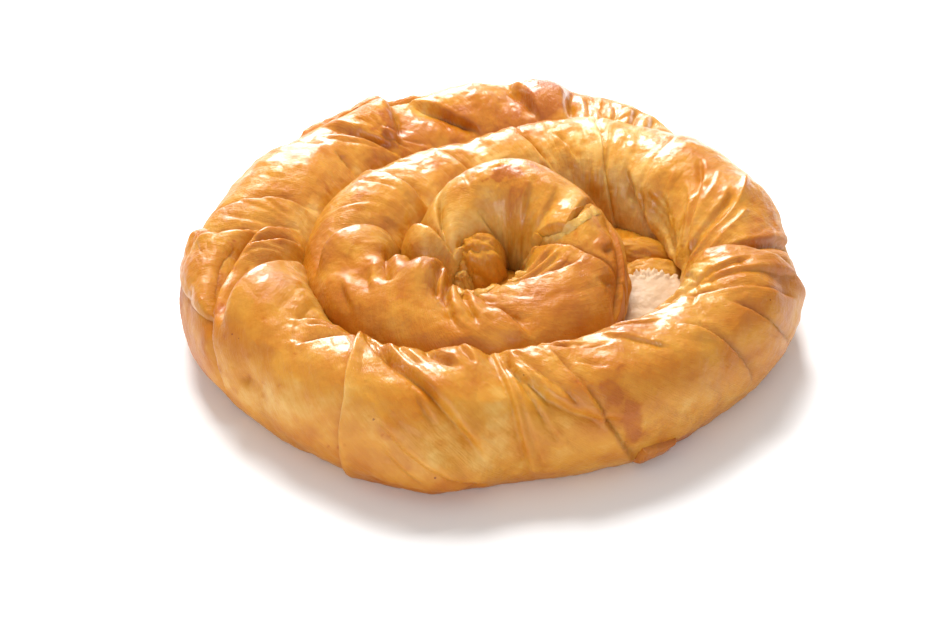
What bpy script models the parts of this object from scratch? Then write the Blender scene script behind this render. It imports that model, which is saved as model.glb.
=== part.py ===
"""Spiral cheese pie: a twisted rope of filled phyllo, coiled inwards on itself.

The rope starts with its tail at the back right, runs anticlockwise (seen from above) round the
outside, and winds in over a second turn to a small raised coil.  At the right it has burst, and
its cheese filling shows there.  X runs to the right, Y to the back and Z up; the front is at -Y.
"""
import math
from collections import namedtuple

import bmesh
import bpy
import numpy as np
from mathutils import Vector

MM = 0.001

# ---------------------------------------------------------------- driving dimensions (mm, degrees)
ROPE_HEIGHT = 35.0          # crest of an ordinary stretch of rope above the tray it was baked on
ROPE_HALF_WIDTH = 17.0      # half the width of an ordinary stretch
OUTER_RADIUS = 74.0         # middle of the pie to the axis of the outer turn
COIL_RISE = 11.0            # how far the inner coil stands above the turns round it

AXIS_LEVEL = 0.45           # height of the rope's widest level, as a share of its height
UNDERSIDE = 0.53            # depth of the rope's lower half; what passes the floor is cut flat
OUTER_TAPER = 0.12          # how much the outer side draws in towards the foot
UPPER_SQUARENESS = 2.35     # superellipse powers of the section: 2 is an ellipse
LOWER_SQUARENESS = 2.1

RING_STEP = 5.0             # spacing of the sections along the rope
TOP_FACETS = 20             # facets round the part of the section that shows
FOOT_FACETS = 6             # facets round the underside
FOOT_ARC = 108.0            # arc of the underside
GIRTH_RADIUS = 17.0         # turns an angle round the section into a length on the surface

TUCK_LENGTH = 7.0           # how far each stretch of rope is tucked into the one before it
TUCK_DEPTH = 1.6            # how much smaller its tucked end is
CLEARANCE = 0.35            # gap between the cheese and its pocket in the pastry

PIE_CENTRE = (-0.4, 8.6)    # moves the finished pie so that its box is centred on the origin

# The rope's course: angle about the middle, then radius of the axis, height of the crest and half
# width.  Radii count from OUTER_RADIUS, heights from ROPE_HEIGHT, widths from ROPE_HALF_WIDTH.
Station = namedtuple("Station", "angle radius crest half_width")
COURSE = (
    # tail and outer turn
    Station(42, -1.2, -1.0, 0.0), Station(60, 5.9, 0.7, 0.5), Station(80, 7.7, 0.4, 0.8),
    Station(100, 5.0, 0.0, 0.2), Station(135, 2.3, -0.6, 0.8), Station(155, 1.3, -1.8, 1.3),
    Station(178, 1.9, -1.5, 2.2), Station(205, -1.3, -0.7, 0.5), Station(228, -4.6, -0.3, -0.9),
    Station(250, -6.6, 0.0, -0.2), Station(272, -11.0, -1.0, -1.5), Station(297, -10.8, -0.6, -0.4),
    Station(322, -7.4, -0.5, -1.4), Station(345, -1.5, 0.2, -0.3), Station(365, 2.1, -0.8, 1.2),
    # second turn
    Station(385, 1.8, 2.5, 1.6), Station(415, -5.8, 3.1, 1.6), Station(450, -23.0, 2.0, -1.0),
    Station(500, -31.0, 2.0, -1.0), Station(545, -31.0, 0.5, -1.5), Station(590, -38.0, 2.0, 0.0),
    Station(640, -42.0, 1.5, 1.0), Station(690, -48.0, 2.0, -1.5),
    # raised inner coil
    Station(730, -49.0, COIL_RISE - 4.0, -3.0), Station(790, -50.0, COIL_RISE, -3.0),
    Station(850, -55.5, COIL_RISE - 5.0, -5.0), Station(910, -58.5, -2.0, -7.0),
    Station(985, -68.0, -10.0, -9.5),
)

# Strand of pastry pressed into the gap at the right, between the cheese and the second turn
STRAND = (
    Station(6, -14.0, -20.0, -12.0), Station(18, -22.0, -13.0, -7.0), Station(34, -26.0, -11.0, -6.0),
    Station(52, -29.0, -17.0, -8.0), Station(72, -34.0, -23.0, -11.0),
)

# Stretches between the sheet edges that show; each is tucked into the one before it.
STRETCHES = ((42, 235), (235, 418), (418, 698), (698, 985))

# A fold is a crease on the rope's surface from one place to another.  A place is the angle about
# the middle and the angle round the section: 0 faces outwards, 90 is the crest, 180 faces inwards.
# bow bends the crease along the rope, depth sinks it, lift raises the side ahead of it and lowers
# the side behind, and reach is how far both are felt (mm).
Fold = namedtuple("Fold", "start end bow depth lift reach")
FOLDS = (
    # tail and back
    Fold((81, 40), (67, 124), 2, 1.8, 2.0, 7), Fold((110, 40), (101, 132), -1, 2.6, 1.0, 7),
    Fold((127, 35), (115, 138), 3, 2.0, 1.0, 6), Fold((136, 40), (117, 140), 5, 1.8, 1.0, 6),
    # left, with the loose flap
    Fold((173, 15), (154, 136), 3, 3.8, 0.8, 8), Fold((184, 80), (164, 138), 1, 2.8, 0.6, 6),
    Fold((189, 64), (173, 140), 3, 2.6, 0.6, 6), Fold((206, 44), (175, 156), -1, 5.4, 2.6, 9),
    Fold((211, -10), (184, 66), 2, 0.4, 2.8, 6),
    # front
    Fold((241, -10), (229, 132), 1, 1.6, 1.4, 6), Fold((232, 132), (267, -5), -5, 2.8, 0.8, 7),
    Fold((270, 142), (275, -25), 1, 3.0, 1.0, 7), Fold((272, 142), (298, 24), 5, 2.0, 0.5, 6),
    Fold((289, 118), (301, -30), -1, 2.0, -0.8, 6), Fold((325, 112), (331, -6), 0, 2.0, -1.0, 6),
    Fold((334, 96), (346, 0), 0, 1.6, -0.5, 6),
    # right, where the creases gather in a pinch
    Fold((354, 154), (363, 15), 3, 4.6, -1.6, 8), Fold((355, 152), (387, 42), 0, -2.0, 0.0, 5),
    Fold((363, 164), (396, 80), 3, -1.6, 0.0, 5), Fold((362, 168), (404, 120), 6, 3.8, 0.8, 6),
    # second turn, with its lobes
    Fold((418, 60), (407, 172), 1, 1.2, 0.9, 5), Fold((442, 66), (429, 138), 0, 2.0, 0.6, 6),
    Fold((491, 45), (492, 140), 0, 3.8, 1.2, 7), Fold((549, 50), (522, 150), 1, 6.0, 1.6, 8),
    Fold((588, 55), (561, 150), 0, 5.6, 1.4, 7), Fold((618, 50), (600, 150), -2, 4.2, 0.6, 6),
    Fold((605, 132), (642, 38), -2, 2.6, 0.6, 6),
    # inner coil
    Fold((752, 168), (700, 36), -5, 3.0, -1.6, 7), Fold((733, 142), (759, 86), 0, 2.4, 0.5, 6),
    Fold((799, 166), (846, 112), 0, 2.8, 0.4, 6), Fold((893, 108), (838, 55), 0, 2.2, 0.5, 6),
    Fold((880, 20), (900, 125), 0, 3.6, 0.8, 6),
)

# A swell is a soft bulge between folds: its place, its size along and round the rope, its height.
Swell = namedtuple("Swell", "place along round height")
SWELLS = (
    Swell((120, 80), 10, 14, 1.0), Swell((148, 90), 15, 18, 2.0), Swell((212, 80), 20, 22, 3.2),
    Swell((255, 40), 14, 16, 1.4), Swell((256, -22), 13, 9, 2.6), Swell((262, 118), 10, 10, 2.8),
    Swell((286, 110), 8, 8, 1.4), Swell((313, 60), 20, 20, 1.2), Swell((347, 62), 14, 18, 1.6),
    Swell((376, 100), 9, 14, 1.6), Swell((513, 95), 16, 16, 2.4), Swell((568, 112), 11, 14, 3.4),
    Swell((594, 125), 7, 10, 3.0), Swell((640, 100), 10, 12, -0.8), Swell((690, 60), 16, 18, 2.4),
    Swell((790, 80), 12, 12, 1.2), Swell((872, 40), 9, 10, 2.2),
)

# Heart of the coil: the pastry at the bottom of its hollow
HEART_CENTRE = (3.0, 2.0, 7.0)
HEART_RADII = (14.0, 13.0, 20.0)

# Cheese: a lump that fills the gap, and the stretch of filling that it burst from
CHEESE_CENTRE = (48.0, -6.0, 4.0)
CHEESE_RADII = (17.0, 21.0, 20.0)
CHEESE_LUMP = 1.0           # height of the lumps on it
CHEESE_GRID = (28, 18)
CORE_FROM, CORE_TO = 343, 371
CORE_RADIUS = 8.5


# ---------------------------------------------------------------- rope
def hermite(x, xs, ys):
    """Smooth curve through (xs, ys), read at x."""
    slopes = np.gradient(ys, xs)
    i = np.clip(np.searchsorted(xs, x) - 1, 0, len(xs) - 2)
    gap = xs[i + 1] - xs[i]
    t = (x - xs[i]) / gap
    return ((2 * t**3 - 3 * t**2 + 1) * ys[i] + (t**3 - 2 * t**2 + t) * gap * slopes[i]
            + (3 * t**2 - 2 * t**3) * ys[i + 1] + (t**3 - t**2) * gap * slopes[i + 1])


def course(angles, stations=COURSE):
    """Axis points, crest heights and half widths of the rope at these angles."""
    table = np.array(stations, float)
    known = table[:, 0]
    radius = hermite(angles, known, OUTER_RADIUS + table[:, 1])
    crest = hermite(angles, known, ROPE_HEIGHT + table[:, 2])
    half_width = hermite(angles, known, ROPE_HALF_WIDTH + table[:, 3])
    turn = np.radians(angles)
    axis = np.stack([radius * np.cos(turn), radius * np.sin(turn)], axis=-1)
    return axis, crest, half_width


def distance_table():
    """Angles in small steps and the distance along the rope at each."""
    angles = np.arange(COURSE[0].angle, COURSE[-1].angle + 0.25, 0.5)
    axis = course(angles)[0]
    steps = np.hypot(*np.diff(axis, axis=0).T)
    return angles, np.concatenate([[0.0], np.cumsum(steps)])


ANGLES, DISTANCES = distance_table()


def along(angle):
    """Distance along the rope at an angle about the middle."""
    return np.interp(angle, ANGLES, DISTANCES)


def section_angles():
    """Angles round the section: close over the top, wider apart under the foot."""
    edge = FOOT_ARC / 2 - 90
    top = np.linspace(edge, 180 - edge, TOP_FACETS, endpoint=False)
    foot = np.linspace(180 - edge, 360 + edge, FOOT_FACETS, endpoint=False)
    return np.concatenate([top, foot])


def section(angles, crest, half_width):
    """Outward and upward distances of the plain section: a superellipse with a lower taper."""
    across, up = np.cos(np.radians(angles)), np.sin(np.radians(angles))
    power = np.where(up < 0, LOWER_SQUARENESS, UPPER_SQUARENESS)
    size = (np.abs(across)**power + np.abs(up)**power)**(-1 / power)
    across, up = across * size, up * size
    across = np.where((up < 0) & (across > 0), across * (1 - OUTER_TAPER * up**2), across)
    middle = AXIS_LEVEL * crest
    lift = np.where(up > 0, (crest - middle)[:, None], (UNDERSIDE * crest)[:, None]) * up
    return half_width[:, None] * across, middle[:, None] + lift


def ease(t):
    t = np.clip(t, 0.0, 1.0)
    return t * t * (3 - 2 * t)


def surface_place(place):
    """A place (angle about the middle, angle round the section) as lengths on the surface."""
    return np.array([along(place[0]), math.radians(place[1]) * GIRTH_RADIUS])


def fold_relief(s, v, fold):
    """Height that one fold adds at the surface places (s, v)."""
    start, end = surface_place(fold.start), surface_place(fold.end)
    run = end - start
    length = np.hypot(*run)
    side = np.array([-run[1], run[0]]) / length
    side *= math.copysign(1.0, side[0])
    pieces = 16
    q = np.linspace(0, 1, pieces + 1)[:, None]
    line = start + q * run + 4 * fold.bow * q * (1 - q) * side
    nearest = np.full(s.shape, np.inf)
    ahead, progress = np.zeros(s.shape), np.zeros(s.shape)
    for i in range(pieces):
        a, d = line[i], line[i + 1] - line[i]
        t = np.clip(((s - a[0]) * d[0] + (v - a[1]) * d[1]) / (d @ d), 0, 1)
        ds, dv = s - a[0] - t * d[0], v - a[1] - t * d[1]
        gap = np.hypot(ds, dv)
        closer = gap < nearest
        nearest = np.where(closer, gap, nearest)
        ahead = np.where(closer, np.sign(ds * side[0] + dv * side[1]), ahead)
        progress = np.where(closer, (i + t) / pieces, progress)
    fade = ease(np.minimum(progress, 1 - progress) * length / (1.2 * fold.reach))
    groove = -fold.depth * np.exp(-nearest / fold.reach)
    step = 0.5 * fold.lift * ahead * np.exp(-nearest / (1.6 * fold.reach))
    return fade * (groove + step)


def relief(s, v):
    """Height of folds and swells at the surface places (s, v), fading out under the rope."""
    height = np.zeros(s.shape)
    for fold in FOLDS:
        height += fold_relief(s, v, fold)
    for swell in SWELLS:
        middle = surface_place(swell.place)
        height += swell.height * np.exp(-((s - middle[0]) / swell.along)**2
                                        - ((v - middle[1]) / swell.round)**2)
    rim = GIRTH_RADIUS * math.pi / 2
    return height * ease((v + rim) / 12) * ease((3 * rim - v) / 12)


def outward_ways(angles, stations=COURSE):
    """Level unit vectors that point away from the pie's middle, square to the rope."""
    run = course(angles + 0.5, stations)[0] - course(angles - 0.5, stations)[0]
    run /= np.linalg.norm(run, axis=1)[:, None]
    return np.stack([run[:, 1], -run[:, 0]], axis=1)


def rings(angles, stations, height):
    """Sections at these angles as rings of points in mm, with a height added all over."""
    axis, crest, half_width = course(angles, stations)
    across, up = section(section_angles(), crest, half_width)
    middle = (AXIS_LEVEL * crest)[:, None]
    grow = 1 + height / np.hypot(across, up - middle)
    points = np.zeros(across.shape + (3,))
    outward = outward_ways(angles, stations)
    points[..., :2] = axis[:, None] + outward[:, None] * (across * grow)[..., None]
    points[..., 2] = middle + (up - middle) * grow
    return points


def rope_rings(first, last):
    """Rings of the rope from one angle to another, tucked into the stretch before."""
    begin, end = along(first), along(last)
    s = np.linspace(begin, end, round((end - begin) / RING_STEP) + 1)
    if first > COURSE[0].angle:
        s = np.concatenate([[begin - TUCK_LENGTH, begin - TUCK_LENGTH / 2], s])
    around = (section_angles() + 90) % 360 - 90
    s_grid, v_grid = np.meshgrid(s, np.radians(around) * GIRTH_RADIUS, indexing="ij")
    height = relief(s_grid, v_grid) - TUCK_DEPTH * ease(1.5 * (begin - s_grid) / TUCK_LENGTH)
    return rings(np.interp(s, DISTANCES, ANGLES), COURSE, height)


# ---------------------------------------------------------------- meshes
def shell(name, loops):
    """Closed mesh through loops of points, its two ends closed by a fan each."""
    count, around = loops.shape[:2]
    points = [tuple(p * MM) for p in loops.reshape(-1, 3)]
    points += [tuple(loops[0].mean(axis=0) * MM), tuple(loops[-1].mean(axis=0) * MM)]
    faces = []
    for i in range(count - 1):
        for j in range(around):
            k = (j + 1) % around
            a, b, c, d = i * around + j, i * around + k, (i + 1) * around + k, (i + 1) * around + j
            faces += [(a, b, c), (a, c, d)]
    for j in range(around):
        k = (j + 1) % around
        faces.append((count * around, k, j))
        faces.append((count * around + 1, (count - 1) * around + j, (count - 1) * around + k))
    mesh = bpy.data.meshes.new(name)
    mesh.from_pydata(points, [], faces)
    tidy = bmesh.new()
    tidy.from_mesh(mesh)
    bmesh.ops.recalc_face_normals(tidy, faces=tidy.faces)
    tidy.to_mesh(mesh)
    tidy.free()
    item = bpy.data.objects.new(name, mesh)
    bpy.context.scene.collection.objects.link(item)
    return item


def lump(name, centre, radii, grid, lumps, grow=0.0):
    """Ball with soft lumps; it rests on the floor, where it is cut flat later."""
    around, rows = grid
    turn = np.linspace(0, 2 * math.pi, around, endpoint=False)
    rise = np.linspace(-0.5, 0.5, rows + 1)[1:-1] * math.pi
    rise, turn = np.meshgrid(rise, turn, indexing="ij")
    way = np.stack([np.cos(rise) * np.cos(turn), np.cos(rise) * np.sin(turn), np.sin(rise)], -1)
    bumps = (np.sin(7 * way[..., 0] + 1) * np.sin(8 * way[..., 1]) + np.sin(9 * way[..., 2] + 2)
             * np.sin(6 * way[..., 0] - 5 * way[..., 1]))
    size = np.array(radii) + grow
    return shell(name, np.array(centre) + way * size + way * (lumps * 0.6 * bumps)[..., None])


def core(name, grow=0.0):
    """The stretch of filling inside the rope at the burst: a round bar with tapered ends."""
    angles = np.linspace(CORE_FROM, CORE_TO, 9)
    axis, crest, _ = course(angles)
    outward = outward_ways(angles)
    share = np.linspace(-1, 1, len(angles))
    radius = CORE_RADIUS * np.sqrt(1 - 0.8 * share**4) + grow
    turn = np.linspace(0, 2 * math.pi, 14, endpoint=False)
    points = np.zeros((len(angles), len(turn), 3))
    points[..., :2] = axis[:, None] + outward[:, None] * (radius[:, None] * np.cos(turn))[..., None]
    points[..., 2] = (AXIS_LEVEL * crest)[:, None] + radius[:, None] * np.sin(turn)
    for end, way in ((0, -grow), (-1, grow)):
        points[end, :, 0] -= way * outward[end, 1]
        points[end, :, 1] += way * outward[end, 0]
    return shell(name, points)


def material(name, colour, roughness):
    look = bpy.data.materials.new(name)
    look.use_nodes = True
    shader = look.node_tree.nodes["Principled BSDF"]
    shader.inputs["Base Color"].default_value = (*colour, 1.0)
    shader.inputs["Roughness"].default_value = roughness
    shader.inputs["Metallic"].default_value = 0.0
    return look


def apply_boolean(item, operation, tools, solver):
    """Boolean of item with tools, applied; the tools are removed."""
    group = bpy.data.collections.new(f"{item.name}_tools")
    bpy.context.scene.collection.children.link(group)
    for tool in tools:
        for holder in tool.users_collection:
            holder.objects.unlink(tool)
        group.objects.link(tool)
    step = item.modifiers.new("fuse", "BOOLEAN")
    step.operation = operation
    step.operand_type = "COLLECTION"
    step.collection = group
    step.solver = solver
    bpy.context.view_layer.update()
    evaluated = item.evaluated_get(bpy.context.evaluated_depsgraph_get())
    mesh = bpy.data.meshes.new_from_object(evaluated)
    item.modifiers.clear()
    item.data = mesh
    for tool in list(group.objects):
        bpy.data.objects.remove(tool)
    bpy.data.collections.remove(group)


def keep_largest_shell(item):
    """Fills hollows that fusing sealed and drops loose scraps: only the largest shell stays."""
    mesh = bmesh.new()
    mesh.from_mesh(item.data)
    bmesh.ops.remove_doubles(mesh, verts=mesh.verts, dist=0.000001)
    bmesh.ops.triangulate(mesh, faces=mesh.faces)
    left, shells = set(mesh.verts), []
    while left:
        front = [left.pop()]
        found = set(front)
        while front:
            vert = front.pop()
            for edge in vert.link_edges:
                other = edge.other_vert(vert)
                if other in left:
                    left.remove(other)
                    found.add(other)
                    front.append(other)
        shells.append(found)
    shells.sort(key=len, reverse=True)
    scraps = [vert for found in shells[1:] for vert in found]
    bmesh.ops.delete(mesh, geom=scraps, context="VERTS")
    bmesh.ops.recalc_face_normals(mesh, faces=mesh.faces)
    mesh.to_mesh(item.data)
    mesh.free()
    for face in item.data.polygons:
        face.use_smooth = True


def floor_block(name):
    """Block whose top is the floor, for cutting the foot flat."""
    bpy.ops.mesh.primitive_cube_add(size=1, location=(0, 0, -0.01))
    block = bpy.context.object
    block.name = name
    block.scale = (0.3, 0.3, 0.02)
    return block


# ---------------------------------------------------------------- sub-parts
def make_cheese(name, grow=0.0):
    """Lump in the gap, fused with the filling that it burst from."""
    item = lump(name, CHEESE_CENTRE, CHEESE_RADII, CHEESE_GRID, CHEESE_LUMP, grow)
    apply_boolean(item, "UNION", [core(f"{name}_core", grow)], "MANIFOLD")
    return item


def make_pastry():
    first, *others = [shell(f"rope_{i}", rope_rings(*ends)) for i, ends in enumerate(STRETCHES)]
    strand = rings(np.linspace(STRAND[0].angle, STRAND[-1].angle, 14), STRAND, 0.0)
    others.append(shell("strand", strand))
    others.append(lump("heart", HEART_CENTRE, HEART_RADII, (20, 12), 0.5))
    first.name = "pastry"
    apply_boolean(first, "UNION", others, "MANIFOLD")
    keep_largest_shell(first)
    apply_boolean(first, "DIFFERENCE", [make_cheese("pocket", CLEARANCE), floor_block("floor")],
                  "MANIFOLD")
    keep_largest_shell(first)
    return first


def centre_on_origin(items):
    """Moves the meshes so that the pie's box is centred on the origin."""
    for item in items:
        for vert in item.data.vertices:
            vert.co -= Vector((PIE_CENTRE[0] * MM, PIE_CENTRE[1] * MM, 0.0))


def main():
    for item in list(bpy.data.objects):
        bpy.data.objects.remove(item, do_unlink=True)
    pastry = make_pastry()
    cheese = make_cheese("cheese")
    apply_boolean(cheese, "DIFFERENCE", [floor_block("floor")], "MANIFOLD")
    keep_largest_shell(cheese)
    centre_on_origin([pastry, cheese])
    pastry.data.materials.clear()
    pastry.data.materials.append(material("pastry", (0.80, 0.47, 0.16), 0.35))
    cheese.data.materials.clear()
    cheese.data.materials.append(material("cheese", (0.93, 0.85, 0.70), 0.6))


main()
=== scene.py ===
import math
from collections import namedtuple

import bpy
import numpy as np
from bpy.props import FloatProperty, FloatVectorProperty, IntProperty, PointerProperty
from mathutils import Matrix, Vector


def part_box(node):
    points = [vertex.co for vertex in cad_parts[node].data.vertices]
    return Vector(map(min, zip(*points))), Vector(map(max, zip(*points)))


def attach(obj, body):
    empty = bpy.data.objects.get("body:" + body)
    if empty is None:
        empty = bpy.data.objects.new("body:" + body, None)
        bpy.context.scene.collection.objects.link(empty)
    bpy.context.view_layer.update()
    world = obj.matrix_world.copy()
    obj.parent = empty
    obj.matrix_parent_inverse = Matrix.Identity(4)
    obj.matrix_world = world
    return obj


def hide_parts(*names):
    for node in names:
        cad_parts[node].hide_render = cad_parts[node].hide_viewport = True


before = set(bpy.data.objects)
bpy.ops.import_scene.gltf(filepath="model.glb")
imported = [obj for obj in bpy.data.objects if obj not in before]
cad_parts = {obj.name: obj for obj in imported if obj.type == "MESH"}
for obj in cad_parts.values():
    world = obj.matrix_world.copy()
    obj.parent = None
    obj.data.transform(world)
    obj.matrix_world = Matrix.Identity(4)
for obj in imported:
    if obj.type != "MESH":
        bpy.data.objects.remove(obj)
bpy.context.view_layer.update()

bl_info = {
    "name": "Spiral Cheese Pie",
    "version": (1, 0, 0),
    "blender": (4, 5, 0),
    "location": "3D View > Sidebar > Cheese Pie",
    "description": "Builds the baked look of a coiled phyllo cheese pie",
    "category": "Add Mesh",
}

LOW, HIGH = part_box("pastry")
DESIGN_WIDTH = 188.8                     # width of the pie that the sizes below are drawn for
MM = (HIGH.x - LOW.x) / DESIGN_WIDTH     # one of those millimetres in the frame
COIL_MIDDLE = (0.4, -8.6)                # middle of the spiral in the frame, mm


def records(kind, *rows):
    """The rows of a table as named records."""
    return tuple(kind(*row) for row in rows)


# ------------------------------------------------------------------ shape of the rope (mm, degrees)
ROPE_HEIGHT = 35.0
ROPE_HALF_WIDTH = 17.0
OUTER_RADIUS = 74.0         # from the middle of the spiral to the rope's axis, in the outer turn
COIL_RISE = 11.0            # how much higher the inner coil lies
AXIS_LEVEL = 0.45           # height of the section's widest place, as a share of its crest
UNDERSIDE = 0.53            # how far the section reaches down from there, as a share of its crest
OUTER_TAPER = 0.12          # how far the outer side draws in towards the foot
UPPER_SQUARENESS = 2.35     # 2 makes an ellipse, more a boxier section
LOWER_SQUARENESS = 2.1
GIRTH_RADIUS = 17.0         # turns an angle round the section into a length on the surface

# The rope's course: angle about the middle, then radius of the axis, height of the crest and half
# width, counted from the ordinary values above.
Station = namedtuple("Station", "angle radius crest half_width")
COURSE = records(
    Station,
    # tail and outer turn
    (42, -1.2, -1, 0), (60, 5.9, 0.7, 0.5), (80, 7.7, 0.4, 0.8), (100, 5, 0, 0.2), (135, 2.3, -0.6, 0.8),
    (155, 1.3, -1.8, 1.3), (178, 1.9, -1.5, 2.2), (205, -1.3, -0.7, 0.5), (228, -4.6, -0.3, -0.9),
    (250, -6.6, 0, -0.2), (272, -11, -1, -1.5), (297, -10.8, -0.6, -0.4), (322, -7.4, -0.5, -1.4),
    (345, -1.5, 0.2, -0.3), (365, 2.1, -0.8, 1.2),
    # second turn
    (385, 1.8, 2.5, 1.6), (415, -5.8, 3.1, 1.6), (450, -23, 2, -1), (500, -31, 2, -1),
    (545, -31, 0.5, -1.5), (590, -38, 2, 0), (640, -42, 1.5, 1), (690, -48, 2, -1.5),
    # raised inner coil, which sinks into the pit at its end
    (730, -49, COIL_RISE - 4, -3), (790, -50, COIL_RISE, -3), (850, -55.5, COIL_RISE - 5, -5),
    (892, -57.5, 0, -6.5), (926, -58.5, -3, -8),
)

# Strand of pastry pressed into the gap at the right, written as a course of its own
STRAND = records(
    Station,
    (6, -14, -22, -12), (18, -22, -17, -7), (34, -26, -16, -6), (52, -29, -20, -8), (72, -34, -25, -11),
)
# Knobs of pastry: the heart at the bottom of the coil, the rolled tip over it, a small lobe beside
# it, and the two lobes of the strand.  flutes is the height of the folds on one (mm), and baked is
# how dark it is, from 0 to 1.
Knob = namedtuple("Knob", "name centre radii flutes baked")
KNOBS = (
    Knob("heart", (2.0, 0.0, 9.5), (15.0, 14.0, 13.0), 1.4, 0.55),
    Knob("tip", (-4.0, 3.2, 24.0), (7.8, 6.8, 10.8), 2.0, 0.42),
    Knob("tip_lobe", (-9.2, -3.0, 19.0), (3.6, 3.0, 8.0), 1.2, 0.15),
    Knob("strand_lobe", (49.0, 11.0, 11.5), (11.5, 7.0, 9.0), 1.0, 0.32),
    Knob("strand_back", (45.0, 21.0, 13.0), (13.0, 6.0, 9.0), 0.8, 0.4),
)

# A place on the rope is the angle about the middle and the angle round the section: 0 faces
# outwards, 90 is the crest and 180 faces inwards.  Where one sheet of phyllo ends over the next,
# the rope is parted along the edge: these are the places that each edge passes, from the outside
# over the top to the inside.
SHEET_EDGES = (
    ((238, -90), (238, 43), (234, 86), (229, 123), (227, 150), (227, 270)),
    ((421, -90), (421, 70), (416, 126), (411, 155), (407, 185), (405, 270)),
    ((700, -90), (700, 72), (705, 100), (712, 130), (716, 270)),
)
SHEET_NAMES = ("rope_outer", "rope_front", "rope_second", "rope_coil")
UNDERLAP = 5.0                  # how far a sheet runs on under the next one's edge (mm)
EDGE_LIFTS = (2.0, 0.7, 0.3)    # how far each of those edges stands up
COIL_END = 9.0                  # length over which the coil's end rounds off

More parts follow.
